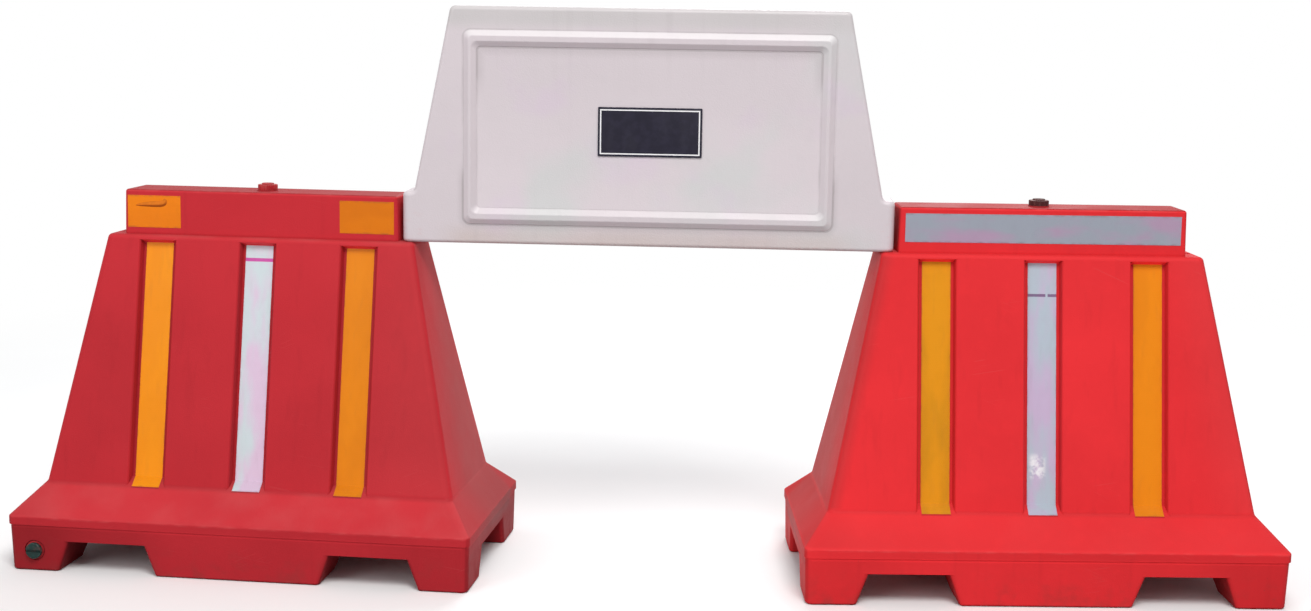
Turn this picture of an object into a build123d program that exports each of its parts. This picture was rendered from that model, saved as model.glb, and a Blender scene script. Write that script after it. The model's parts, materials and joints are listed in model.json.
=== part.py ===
from build123d import *
from math import atan2, cos, degrees, hypot, radians, sin, tan
import os

# Barrier unit: size on the ground and moulded wall
unit_length = 1000.0
unit_width = 500.0
wall = 6.0

# Skirt, lip band and feet
foot_draft = 5.0
lip_top = 117.0
lip_band = 17.0
lip_step = 2.0
lip_radius = 4.0
base_corner = 16.0
gap_height = 67.0
gap_angle = 70.0
cross_gap_width = 212.0
corner_foot = 110.0
side_foot = 125.0
foot_edge = 10.0
foot_sole_edge = 5.0

# Tapered body above the base slope
waist_height = 177.0
waist_end_inset = 54.0
waist_side_inset = 76.0
waist_corner = 16.0
waist_radius = 12.0
ledge_height = 704.0
ledge_length = 674.0
ledge_width = 138.0
ledge_corner = 14.0
ledge_radius = 11.0

# Top block, with a ledge left free at each end and a shoulder along each side
block_height = 96.0
ledge_reach = 35.0
shoulder_width = 13.0
block_draft = 2.0
block_corner = 7.0
block_radius = 6.0

# Tape grooves on the long faces
groove_pitch = 222.0
groove_width = 72.0
groove_depth = 16.0
groove_draft = 12.0
groove_flare = 3.0
groove_head_room = 10.5
overcut = 5.0

# Reflective tapes in the grooves and strips on the block
tape_thickness = 0.6
tape_width = 60.0
tape_head_room = 1.0
tape_toe = 3.0
long_strip_height = 60.0
long_strip_lift = 5.0
long_strip_room = 13.0
short_strip_length = 118.0
short_strip_height = 69.0
short_strip_lift = 1.0
short_strip_room = 8.0

# Filler at the middle of the block
insert_clearance = 0.05
filler_bore = 32.0
collar_wall = 2.0
collar_depth = 14.0
collar_rise = 8.0
collar_flange = 44.0
collar_flange_thickness = 2.0
gasket_thickness = 2.0
cap_diameter = 42.0
cap_top = 3.0
cap_clearance = 0.5
cap_gap = 0.3
cap_radius = 1.2
cap_hub = 26.0
cap_hub_height = 3.0
cap_slot_width = 6.0
cap_slot_depth = 2.0
cap_grip_count = 24
cap_grip_radius = 1.6
cap_grip_depth = 0.7

# Drain in one corner foot of the drain side
drain_from_end = 59.0
drain_height = 45.0
drain_recess = 44.0
drain_recess_depth = 3.0
drain_boss = 52.0
drain_boss_depth = 28.0
drain_bore = 20.0
bush_wall = 4.0
bush_flange = 40.0
bush_flange_thickness = 3.0
seal_diameter = 32.0
seal_thickness = 2.0
plug_head = 34.0
plug_head_height = 8.0
plug_shank = 16.0
plug_clearance = 0.05
plug_slot_width = 5.0
plug_slot_depth = 4.0
plug_radius = 1.5

# Link pins that stand in the ledges and locate the panel
pin_diameter = 14.0
pin_clearance = 0.05
pin_length = 110.0
pin_chamfer = 1.5
pin_from_block = 18.0
socket_depth = 60.0
socket_wall = 5.0

# Display panel between two units
pin_span = 1012.0
panel_wall = 6.0
panel_thickness = 110.0
panel_height = 496.0
panel_top_length = 830.0
panel_foot_length = 986.0
panel_top_corner = 12.0
panel_notch_radius = 10.0
panel_edge = 9.0
panel_sole_edge = 8.0
tab_height = 107.0
tab_reach = 12.0
tab_corner = 16.0
bore_head_room = 2.0

# Raised bead frame on both faces of the panel
frame_length = 776.0
frame_height = 406.0
frame_place = 41.0
frame_side_width = 29.0
frame_level_width = 35.0
frame_rise = 8.0
frame_slope = 12.0
frame_corner = 16.0
frame_crest_radius = 4.0

# At rest each unit is turned back by this angle from the panel's line
rest_swivel = 4.0

# Edges are picked by height to within this
edge_tolerance = 0.01

# Sizes and places worked out from those above
unit_height = ledge_height + block_height
waist_length = unit_length - 2 * waist_end_inset
waist_width = unit_width - 2 * waist_side_inset
block_length = ledge_length - 2 * ledge_reach
block_width = ledge_width - 2 * shoulder_width
cross_gap_place = unit_length / 2 - corner_foot - cross_gap_width / 2
long_gap_width = unit_width - 2 * side_foot
drain_place = unit_length / 2 - drain_from_end
long_strip_length = block_length - 2 * long_strip_room
short_strip_place = (block_length - short_strip_length) / 2 - short_strip_room
slope_angle = degrees(atan2(waist_height - lip_top, (unit_width - waist_width) / 2))
face_lean = degrees(atan2((waist_width - ledge_width) / 2, ledge_height - waist_height))
pin_place = block_length / 2 + pin_from_block
pin_bottom = ledge_height - socket_depth
pin_top = pin_bottom + pin_length
pin_bore = pin_diameter + 2 * pin_clearance
unit_place = pin_span / 2 + pin_place * cos(radians(rest_swivel))
panel_setback = -pin_place * sin(radians(rest_swivel))
collar_diameter = filler_bore + 2 * collar_wall
neck_top = unit_height + collar_rise
cap_seat = neck_top + gasket_thickness
drain_face = unit_width / 2 - foot_draft - drain_recess_depth
bush_diameter = drain_bore + 2 * bush_wall
groove_places = (-groove_pitch, 0.0, groove_pitch)
panel_middle = Plane(origin=(0, panel_setback, 0), x_dir=(1, 0, 0), z_dir=(0, -1, 0))
left_place = Location((-unit_place, 0, 0), (0, 0, -rest_swivel))
right_place = Location((unit_place, 0, 0), (0, 0, 180 + rest_swivel))


def base_form(inset):
    """Skirt, lip band, base slope and tapered body, drawn in by inset on every side."""
    foot = (inset, unit_length - 2 * foot_draft, unit_width - 2 * foot_draft, base_corner)
    skirt = (lip_top - inset / 2, unit_length - 2 * lip_step, unit_width - 2 * lip_step, base_corner)
    band = (lip_top - lip_band + inset, unit_length, unit_width, base_corner)
    lip = (lip_top - inset / 2, unit_length, unit_width, base_corner)
    waist = (waist_height - inset / 2, waist_length, waist_width, waist_corner)
    ledge = (ledge_height - inset, ledge_length, ledge_width, ledge_corner)
    with BuildPart() as form:
        for lower, upper in ((foot, skirt), (band, lip), (lip, waist), (waist, ledge)):
            for height, length, width, corner in (lower, upper):
                with BuildSketch(Plane.XY.offset(height)):
                    RectangleRounded(length - 2 * inset, width - 2 * inset, corner)
            loft(ruled=True)
    return form.part


def block_form(inset):
    """Top block on the ledge, drawn in by inset on every side."""
    with BuildPart() as form:
        for height, draft in ((ledge_height, 0.0), (unit_height, block_draft)):
            shrink = 2 * (inset + draft)
            with BuildSketch(Plane.XY.offset(height - inset)):
                RectangleRounded(block_length - shrink, block_width - shrink, block_corner)
        loft(ruled=True)
    return form.part


def foot_gaps(inset):
    """Two fork gaps across the unit and one gap along it, widened by inset."""
    with BuildPart() as gaps:
        with BuildSketch(Plane.XZ):
            with Locations((-cross_gap_place, 0), (cross_gap_place, 0)):
                Trapezoid(cross_gap_width + 2 * inset, gap_height + inset, gap_angle,
                          align=(Align.CENTER, Align.MIN))
        extrude(amount=unit_width, both=True)
        with BuildSketch(Plane.YZ):
            Trapezoid(long_gap_width + 2 * inset, gap_height + inset, gap_angle,
                      align=(Align.CENTER, Align.MIN))
        extrude(amount=unit_length, both=True)
    return gaps.part


def face_plane(inset):
    """Plane of the long face: origin on the waist line, local Y up the face, Z outwards."""
    rise = (ledge_height - inset) - (waist_height - inset / 2)
    return Plane(origin=(0, inset - waist_width / 2, waist_height - inset / 2),
                 x_dir=(1, 0, 0), z_dir=(0, -rise, (waist_width - ledge_width) / 2))


def groove_foot(depth):
    """Height up the face where the base slope, carried inwards, reaches this depth."""
    return depth * tan(radians(face_lean + slope_angle))


def groove_head(depth):
    """Height up the face where the groove's upper end reaches this depth."""
    face_length = hypot((waist_width - ledge_width) / 2, ledge_height - waist_height)
    return face_length - groove_head_room - depth * tan(radians(groove_draft))


def grooves(inset):
    """Three flared tape grooves on each long face, widened by inset."""
    face = face_plane(inset)
    across = Plane(origin=face.origin, x_dir=face.x_dir, z_dir=face.y_dir)
    along = Plane(origin=face.origin, x_dir=face.y_dir, z_dir=face.x_dir)
    floor = groove_width / 2 + inset
    wall_top = floor + (groove_depth - groove_flare) * tan(radians(groove_draft))
    mouth = wall_top + groove_flare + overcut
    half = ((floor, groove_depth), (wall_top, groove_flare), (mouth, -overcut))
    mirrored = tuple((-width, depth) for width, depth in reversed(half))
    with BuildPart() as cutters:
        with BuildSketch(across):
            with Locations(*((place, 0) for place in groove_places)):
                Polygon(*half, *mirrored, align=None)
        extrude(amount=unit_height, both=True)
        with BuildSketch(along):
            Polygon((groove_foot(groove_depth), -groove_depth),
                    (groove_head(groove_depth) + inset, -groove_depth),
                    (groove_head(-overcut) + inset, overcut),
                    (groove_foot(-overcut), overcut), align=None)
        extrude(amount=unit_length, both=True, mode=Mode.INTERSECT)
        mirror(about=Plane.XZ)
    return cutters.part


def drain_plane(depth):
    """Plane square to the drain's axis, this far in from its recess; local Z points out of the foot."""
    return Plane(origin=(-drain_place, depth - drain_face, drain_height), x_dir=(1, 0, 0), z_dir=(0, -1, 0))


def level_edges(shape, height):
    """Edges of a shape that lie at one height."""
    return shape.edges().filter_by_position(Axis.Z, height - edge_tolerance, height + edge_tolerance)


def is_foot_corner(edge):
    """True for an upright edge of a foot, from the ground to the top of the gaps."""
    box = edge.bounding_box()
    return box.min.Z < edge_tolerance and abs(box.max.Z - gap_height) < edge_tolerance


# Ballast space inside the unit, with the bosses that stand in it
with BuildPart() as ballast:
    add(base_form(wall))
    add(block_form(wall))
    add(grooves(wall), mode=Mode.SUBTRACT)
    add(foot_gaps(wall), mode=Mode.SUBTRACT)
    with BuildSketch(Plane.XY.offset(pin_bottom - socket_wall)):
        with Locations((-pin_place, 0), (pin_place, 0)):
            Circle(pin_bore / 2 + socket_wall)
    extrude(amount=socket_depth + socket_wall, mode=Mode.SUBTRACT)
    with BuildSketch(drain_plane(drain_boss_depth)):
        Circle(drain_boss / 2)
    extrude(amount=drain_boss_depth + foot_draft, mode=Mode.SUBTRACT)

# Hollow moulding of one unit
with BuildPart() as shell:
    add(base_form(0))
    fillet(level_edges(shell, waist_height), waist_radius)
    fillet(level_edges(shell, lip_top), lip_radius)
    fillet(level_edges(shell, ledge_height), ledge_radius)
    add(block_form(0))
    fillet(level_edges(shell, unit_height), block_radius)
    add(grooves(0), mode=Mode.SUBTRACT)
    add(foot_gaps(0), mode=Mode.SUBTRACT)
    fillet(shell.edges().filter_by(is_foot_corner), foot_edge)
    fillet(level_edges(shell, 0), foot_sole_edge)
    add(ballast.part, mode=Mode.SUBTRACT)
    with BuildSketch(Plane.XY.offset(pin_bottom)):
        with Locations((-pin_place, 0), (pin_place, 0)):
            Circle(pin_bore / 2)
    extrude(amount=socket_depth, mode=Mode.SUBTRACT)
    with BuildSketch(Plane.XY.offset(unit_height)):
        Circle(collar_diameter / 2 + insert_clearance)
    extrude(amount=-2 * wall, mode=Mode.SUBTRACT)
    with BuildSketch(drain_plane(0)):
        Circle(drain_recess / 2)
    extrude(amount=2 * foot_draft, mode=Mode.SUBTRACT)
    with BuildSketch(drain_plane(0)):
        Circle(bush_diameter / 2 + insert_clearance)
    extrude(amount=-drain_boss_depth, mode=Mode.SUBTRACT)

# Filler collar through the top of the block, with its outside flange
with BuildPart() as collar:
    with BuildSketch(Plane.XY.offset(unit_height - collar_depth)):
        Circle(collar_diameter / 2)
    extrude(amount=collar_depth + collar_rise)
    with BuildSketch(Plane.XY.offset(unit_height)):
        Circle(collar_flange / 2)
    extrude(amount=collar_flange_thickness)
    with BuildSketch(Plane.XY.offset(unit_height - collar_depth)):
        Circle(filler_bore / 2)
    extrude(amount=collar_depth + collar_rise, mode=Mode.SUBTRACT)

# Flat gasket on the collar's rim
with BuildPart() as gasket:
    with BuildSketch(Plane.XY.offset(neck_top)):
        Circle(collar_diameter / 2)
        Circle(filler_bore / 2, mode=Mode.SUBTRACT)
    extrude(amount=gasket_thickness)

# Screw cap with a fluted skirt and a slotted hub
with BuildPart() as cap:
    skirt_foot = unit_height + collar_flange_thickness + cap_gap
    with BuildSketch(Plane.XY.offset(skirt_foot)):
        Circle(cap_diameter / 2)
    extrude(amount=cap_seat + cap_top - skirt_foot)
    with BuildSketch(Plane.XY.offset(cap_seat + cap_top)):
        Circle(cap_hub / 2)
    extrude(amount=cap_hub_height)
    fillet(cap.edges().filter_by(GeomType.CIRCLE).group_by(Axis.Z)[-1], cap_radius)
    fillet(level_edges(cap, cap_seat + cap_top).sort_by(SortBy.LENGTH)[-1], cap_radius)
    with BuildSketch(Plane.XY.offset(skirt_foot)):
        with PolarLocations(cap_diameter / 2 + cap_grip_radius - cap_grip_depth, cap_grip_count):
            Circle(cap_grip_radius)
    extrude(amount=cap_seat + cap_top - skirt_foot, mode=Mode.SUBTRACT)
    with BuildSketch(Plane.XY.offset(skirt_foot)):
        Circle(collar_diameter / 2 + cap_clearance)
    extrude(amount=cap_seat - skirt_foot, mode=Mode.SUBTRACT)
    with BuildSketch(Plane.XY.offset(cap_seat + cap_top + cap_hub_height)):
        Rectangle(cap_hub, cap_slot_width)
    extrude(amount=-cap_slot_depth, mode=Mode.SUBTRACT)

# Bush in the drain boss, with its flange on the floor of the recess
with BuildPart() as bush:
    with BuildSketch(drain_plane(drain_boss_depth)):
        Circle(bush_diameter / 2)
    extrude(amount=drain_boss_depth)
    with BuildSketch(drain_plane(0)):
        Circle(bush_flange / 2)
    extrude(amount=bush_flange_thickness)
    with BuildSketch(drain_plane(drain_boss_depth)):
        Circle(drain_bore / 2)
    extrude(amount=drain_boss_depth + bush_flange_thickness, mode=Mode.SUBTRACT)

# Seal ring between the bush and the plug's head
with BuildPart() as seal:
    with BuildSketch(drain_plane(-bush_flange_thickness)):
        Circle(seal_diameter / 2)
        Circle(drain_bore / 2, mode=Mode.SUBTRACT)
    extrude(amount=seal_thickness)

# Drain plug with a slotted head
with BuildPart() as plug:
    head_seat = drain_plane(-bush_flange_thickness - seal_thickness)
    with BuildSketch(head_seat):
        Circle(plug_head / 2)
    extrude(amount=plug_head_height)
    fillet(plug.edges().group_by(Axis.Y)[0], plug_radius)
    with BuildSketch(head_seat.offset(plug_head_height)):
        Rectangle(plug_head, plug_slot_width)
    extrude(amount=-plug_slot_depth, mode=Mode.SUBTRACT)
    with BuildSketch(head_seat):
        Circle(drain_bore / 2 - plug_clearance)
    extrude(amount=-plug_shank)


def groove_tape(place):
    """Tape on the floor of one groove, its foot turned out down the base slope, past the waist."""
    face = face_plane(0)
    section = Plane(origin=face.origin + Vector(place, 0, 0), x_dir=face.y_dir, z_dir=(1, 0, 0))
    bend = (groove_foot(groove_depth), -groove_depth)
    head = (groove_head(groove_depth) - tape_head_room, -groove_depth)
    turn = radians(face_lean + slope_angle)
    run = groove_depth / cos(turn) + tape_toe
    toe = (bend[0] - run * sin(turn), bend[1] + run * cos(turn))
    with BuildPart() as tape:
        with BuildSketch(section):
            with BuildLine():
                Polyline(head, bend, toe)
                offset(amount=tape_thickness, side=Side.RIGHT)
            make_face()
        extrude(amount=tape_width / 2, both=True)
    return tape.part


def block_strip(place, length, height, lift):
    """Flat strip on the long face of the block, this far along it and up from its middle."""
    face = Plane(origin=(place, -block_width / 2, ledge_height), x_dir=(1, 0, 0),
                 z_dir=(0, ledge_height - unit_height, block_draft))
    with BuildPart() as strip:
        with BuildSketch(face):
            with Locations((0, block_height / 2 + lift)):
                Rectangle(length, height)
        extrude(amount=tape_thickness)
    return strip.part


# Link pin, standing at the middle of the frame until it is placed
with BuildPart() as pin:
    with BuildSketch(Plane.XY.offset(pin_bottom)):
        Circle(pin_diameter / 2)
    extrude(amount=pin_length)
    chamfer(pin.edges().filter_by(GeomType.CIRCLE), pin_chamfer)


def panel_form(inset):
    """Panel with its two tabs, drawn in by inset on every side and not yet rounded along its faces."""
    foot = ledge_height + inset
    tab_top = ledge_height + tab_height - inset
    top = ledge_height + panel_height - inset
    half_tab = pin_span / 2 + tab_reach - inset
    half_foot = panel_foot_length / 2 - inset
    half_top = panel_top_length / 2 - inset
    with BuildPart() as form:
        with BuildSketch(panel_middle):
            with BuildLine():
                right = Polyline((0, foot), (half_tab, foot), (half_tab, tab_top), (half_foot, tab_top),
                                 (half_top, top), (0, top))
                mirror(right, about=Plane.YZ)
            make_face()
        extrude(amount=panel_thickness / 2 - inset, both=True)
        fillet(form.edges().filter_by(Axis.Z), tab_corner - inset)
    return form.part


def bead_frame():
    """Raised frame with sloping sides on both faces of the panel."""
    front = panel_middle.offset(panel_thickness / 2)
    middle = ledge_height + frame_place + frame_height / 2
    outside = (frame_length, frame_height, frame_corner, -frame_slope, Mode.ADD)
    opening = (frame_length - 2 * frame_side_width, frame_height - 2 * frame_level_width, frame_corner / 2,
               frame_slope, Mode.SUBTRACT)
    with BuildPart() as frame:
        for length, height, corner, slope, mode in (outside, opening):
            for rise, run in ((0.0, 0.0), (frame_rise, slope)):
                with BuildSketch(front.offset(rise)):
                    with Locations((0, middle)):
                        RectangleRounded(length + 2 * run, height + 2 * run, corner + run / 2)
            loft(ruled=True, mode=mode)
        fillet(frame.edges().group_by(Axis.Y)[0], frame_crest_radius)
        mirror(about=panel_middle)
    return frame.part


# Air space inside the panel, with the bosses for the link pins
with BuildPart() as panel_space:
    add(panel_form(panel_wall))
    with BuildSketch(Plane.XY.offset(ledge_height)):
        with Locations((-pin_span / 2, panel_setback), (pin_span / 2, panel_setback)):
            Circle(pin_bore / 2 + socket_wall)
    extrude(amount=pin_top + bore_head_room + socket_wall - ledge_height, mode=Mode.SUBTRACT)

# Hollow display panel
with BuildPart() as panel:
    add(panel_form(0))
    fillet(level_edges(panel, ledge_height + panel_height).filter_by(Axis.Y), panel_top_corner)
    notches = level_edges(panel, ledge_height + tab_height).filter_by(Axis.Y).sort_by(Axis.X)[1:-1]
    fillet(notches, panel_notch_radius)
    above_foot = ledge_height + edge_tolerance
    rim = panel.edges().filter_by_position(Axis.Z, above_foot, ledge_height + panel_height)
    rim = rim.filter_by(Axis.Z, reverse=True)
    seams = rim.filter_by(Axis.Y).sort_by(Axis.X)[1:-1]
    fillet(rim - seams, panel_edge)
    fillet(level_edges(panel, ledge_height), panel_sole_edge)
    add(bead_frame())
    add(panel_space.part, mode=Mode.SUBTRACT)
    with BuildSketch(Plane.XY.offset(ledge_height)):
        with Locations((-pin_span / 2, panel_setback), (pin_span / 2, panel_setback)):
            Circle(pin_bore / 2)
    extrude(amount=pin_top + bore_head_room - ledge_height, mode=Mode.SUBTRACT)

unit_pieces = {
    "barrier_shell": shell.part,
    "filler_collar": collar.part,
    "filler_gasket": gasket.part,
    "filler_cap": cap.part,
    "drain_bush": bush.part,
    "drain_seal": seal.part,
    "drain_plug": plug.part,
}
for number, place in enumerate(groove_places, start=1):
    tape = groove_tape(place)
    unit_pieces[f"drain_side_tape_{number}"] = tape
    unit_pieces[f"far_side_tape_{number}"] = tape.rotate(Axis.Z, 180)
for number, place in enumerate((-short_strip_place, short_strip_place), start=1):
    short_strip = block_strip(place, short_strip_length, short_strip_height, short_strip_lift)
    unit_pieces[f"short_strip_{number}"] = short_strip
long_strip = block_strip(0, long_strip_length, long_strip_height, long_strip_lift)
unit_pieces["long_strip"] = long_strip.rotate(Axis.Z, 180)

pieces = {"panel_shell": panel.part}
for side, place in (("left", left_place), ("right", right_place)):
    for name, piece in unit_pieces.items():
        pieces[f"{side}_{name}"] = piece.moved(place)
for side, place in (("left", -pin_span / 2), ("right", pin_span / 2)):
    pieces[f"{side}_link_pin"] = pin.part.moved(Location((place, panel_setback, 0)))

os.makedirs("parts", exist_ok=True)
for name, piece in pieces.items():
    piece.label = name
    export_step(piece, f"parts/{name}.step")
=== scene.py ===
import json
import math
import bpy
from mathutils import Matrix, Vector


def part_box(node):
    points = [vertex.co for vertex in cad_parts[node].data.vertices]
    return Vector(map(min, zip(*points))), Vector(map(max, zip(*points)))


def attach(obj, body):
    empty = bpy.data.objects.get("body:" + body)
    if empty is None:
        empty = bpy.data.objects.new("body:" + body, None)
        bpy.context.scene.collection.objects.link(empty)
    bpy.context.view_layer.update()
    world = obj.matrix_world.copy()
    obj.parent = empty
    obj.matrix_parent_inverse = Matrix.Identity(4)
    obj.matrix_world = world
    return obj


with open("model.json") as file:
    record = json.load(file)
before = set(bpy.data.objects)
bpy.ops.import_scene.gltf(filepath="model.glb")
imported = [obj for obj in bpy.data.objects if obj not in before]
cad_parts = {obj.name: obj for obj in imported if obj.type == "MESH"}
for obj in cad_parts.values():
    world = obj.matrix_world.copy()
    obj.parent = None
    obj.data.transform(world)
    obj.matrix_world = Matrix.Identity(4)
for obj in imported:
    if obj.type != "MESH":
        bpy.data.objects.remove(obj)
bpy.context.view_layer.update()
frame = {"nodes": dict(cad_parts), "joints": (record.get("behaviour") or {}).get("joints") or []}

from types import SimpleNamespace

import bpy
import numpy as np
from mathutils import Matrix, Vector

scene = bpy.context.scene
sides = ("left", "right")
print("stage: frame loaded with", len(frame["nodes"]), "solids")

def operator(operation, turned=False):
    # a method of Wire that adds one Math node
    def combine(self, other=0):
        first, second = (other, self) if turned else (self, other)
        return self.sheet.node("Math", {0: first, 1: second}, operation=operation)

    return combine

class Wire:
    # one value socket; an expression on wires adds its Math nodes
    def __init__(self, sheet, socket):
        self.sheet = sheet
        self.socket = socket

    __add__ = __radd__ = operator("ADD")
    __sub__ = operator("SUBTRACT")
    __rsub__ = operator("SUBTRACT", turned=True)
    __mul__ = __rmul__ = operator("MULTIPLY")
    __truediv__ = operator("DIVIDE")
    __rtruediv__ = operator("DIVIDE", turned=True)
    __abs__ = operator("ABSOLUTE")
    least = operator("MINIMUM")
    most = operator("MAXIMUM")
    root = operator("SQRT")
    fraction = operator("FRACT")

    def ramp(self, low, high, start=0, end=1):
        # smooth step from start to end while the value goes from low to high
        inputs = {"Value": self, "From Min": low, "From Max": high, "To Min": start, "To Max": end}
        return self.sheet.node("MapRange", inputs, interpolation_type="SMOOTHSTEP")

    def fall(self, low, high):
        # smooth step down from 1 to 0
        return self.ramp(low, high, 1, 0)

    def near(self, middle, core, fade):
        # 1 within core of the middle, 0 past its fade
        return abs(self - middle).fall(core, core + fade)

class Sheet:
    # the nodes of one material or world
    def __init__(self, owner):
        owner.use_nodes = True
        self.owner = owner
        self.tree = owner.node_tree
        self.tree.nodes.clear()

    def node(self, kind, inputs, output=0, **settings):
        made = self.tree.nodes.new("ShaderNode" + kind)
        for key, value in settings.items():
            setattr(made, key, value)
        for key, value in inputs.items():
            if isinstance(value, Wire):
                self.tree.links.new(value.socket, made.inputs[key])
            else:
                made.inputs[key].default_value = value
        return Wire(self, made.outputs[output]) if made.outputs else None

    def blend(self, factor, under, over):
        # colour over laid on colour under; the Mix node's colours are 6 and 7, its coloured result 2
        return self.node("Mix", {0: factor, 6: rgba(under), 7: rgba(over)}, 2, data_type="RGBA")

    def toned(self, colour, amount):
        # colour times an amount that may vary
        return self.node("VectorMath", {0: colour, "Scale": amount}, operation="SCALE")

    def placed(self, centre=(0, 0, 0), turn=0):
        # Object coordinates seen from a piece's own middle and turn
        plain = self.node("TexCoord", {}, "Object")
        inputs = {"Vector": plain, "Location": centre, "Rotation": (0, 0, turn)}
        self.here = self.node("Mapping", inputs, vector_type="TEXTURE")
        return self

    def axes(self, vector=None):
        # the three parts of a vector, or of the place on the piece
        return [self.node("SeparateXYZ", {0: vector or self.here}, part) for part in range(3)]

    def facing(self):
        # the three parts of the way a face looks; the last is 1 for up
        return self.axes(self.node("TexCoord", {}, "Normal"))

    def grain(self, scale, detail, stretch=(1, 1, 1), shift=(0, 0, 0), vector=None):
        placing = {"Vector": vector or self.here, "Location": shift, "Scale": stretch}
        stretched = self.node("Mapping", placing)
        return self.node("TexNoise", {"Vector": stretched, "Scale": scale, "Detail": detail})

    def patches(self, noise, stretch=(1, 1, 1), shift=(0, 0, 0), vector=None):
        # grain as patches: noise is its scale and detail, then a ramp's limits
        scale, detail, *limits = noise
        return self.grain(scale, detail, stretch, shift, vector).ramp(*limits)

    def cells(self, scale, output="Distance"):
        return self.node("TexVoronoi", {"Vector": self.here, "Scale": scale}, output)

    def relief(self, height, distance, under=None):
        inputs = {"Height": height, "Distance": distance, "Strength": 1}
        if under is not None:
            inputs["Normal"] = under
        return self.node("Bump", inputs)

    def bumps(self, noise, under=None, stretch=(1, 1, 1), shift=(0, 0, 0)):
        # relief from grain: noise is its scale, its detail and its height in metres
        scale, detail, height = noise
        return self.relief(self.grain(scale, detail, stretch, shift), height, under)

    def finishWith(self, colour, rough, normal, gloss, **fixed):
        inputs = {"Base Color": rgba(colour), "Roughness": rough, "Normal": normal}
        fixed["Specular IOR Level"] = gloss
        shader = self.node("BsdfPrincipled", {**inputs, **fixed})
        self.node("OutputMaterial", {"Surface": shader})
        return self.owner

def rgba(colour):
    return colour if isinstance(colour, Wire) else (*colour, 1)

def shaded(colour, amount):
    return tuple(min(1, part * amount) for part in colour)

def named(look):
    # settings, read by name
    return SimpleNamespace(**look)

def opened(look):
    # settings, their places and their weights
    return named(look), named(look["at"]), named(look["weight"])

def newSheet(name, *place):
    return Sheet(bpy.data.materials.new(name)).placed(*place)

def roughness(shares, *masks):
    # the plain surface's own, then each mask by its share
    total = shares[0]
    for mask, share in zip(masks, shares[1:]):
        total = total + mask * share
    return total

def unitPlace(side):
    # middle of the unit from its cap, and its turn from the drain's axis
    low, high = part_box(side + "_filler_cap")
    axis = next(joint["axis"] for joint in frame["joints"] if joint["name"] == side + "_drain_out")
    return ((low.x + high.x) / 2, (low.y + high.y) / 2, 0), math.atan2(axis[0], -axis[1])

def dress(finish, *names):
    for name in names:
        for slot in frame["nodes"][name].material_slots:
            slot.material = finish

# What the large mouldings share: upright faces, scratches and skin

skinLook = dict(upright=(0.35, 0.75), marks=(1, 2, 0.66, 0.74), stretch=(5, 5, 460), deep=0.0001)

def standing(up):
    # 1 on upright faces, 0 on level ones
    return abs(up).fall(*skinLook["upright"])

def scratches(sheet, lines):
    # thin straight marks: the greater of two grains drawn out along lines with a tilt and a shift
    marks = []
    for tilt, shift in lines:
        turned = sheet.node("Mapping", {"Vector": sheet.here, "Rotation": (0, tilt, 0)})
        marks.append(sheet.patches(skinLook["marks"], skinLook["stretch"], shift, turned))
    return marks[0].most(marks[1])

def mouldedSkin(sheet, look, scratch, shift):
    # waves of the wall, a fine grain and the scratches, one relief on the other
    normal = sheet.bumps(look.skin, sheet.bumps(look.wave, shift=shift))
    return sheet.relief(1 - scratch, skinLook["deep"], normal)

# Moulded units: pigment that drifts, dust on what looks up, splashes by the ground, rubbed edges, and
# painted light, shade and sheen on slopes, skirts, ends, corner edges and recesses

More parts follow.
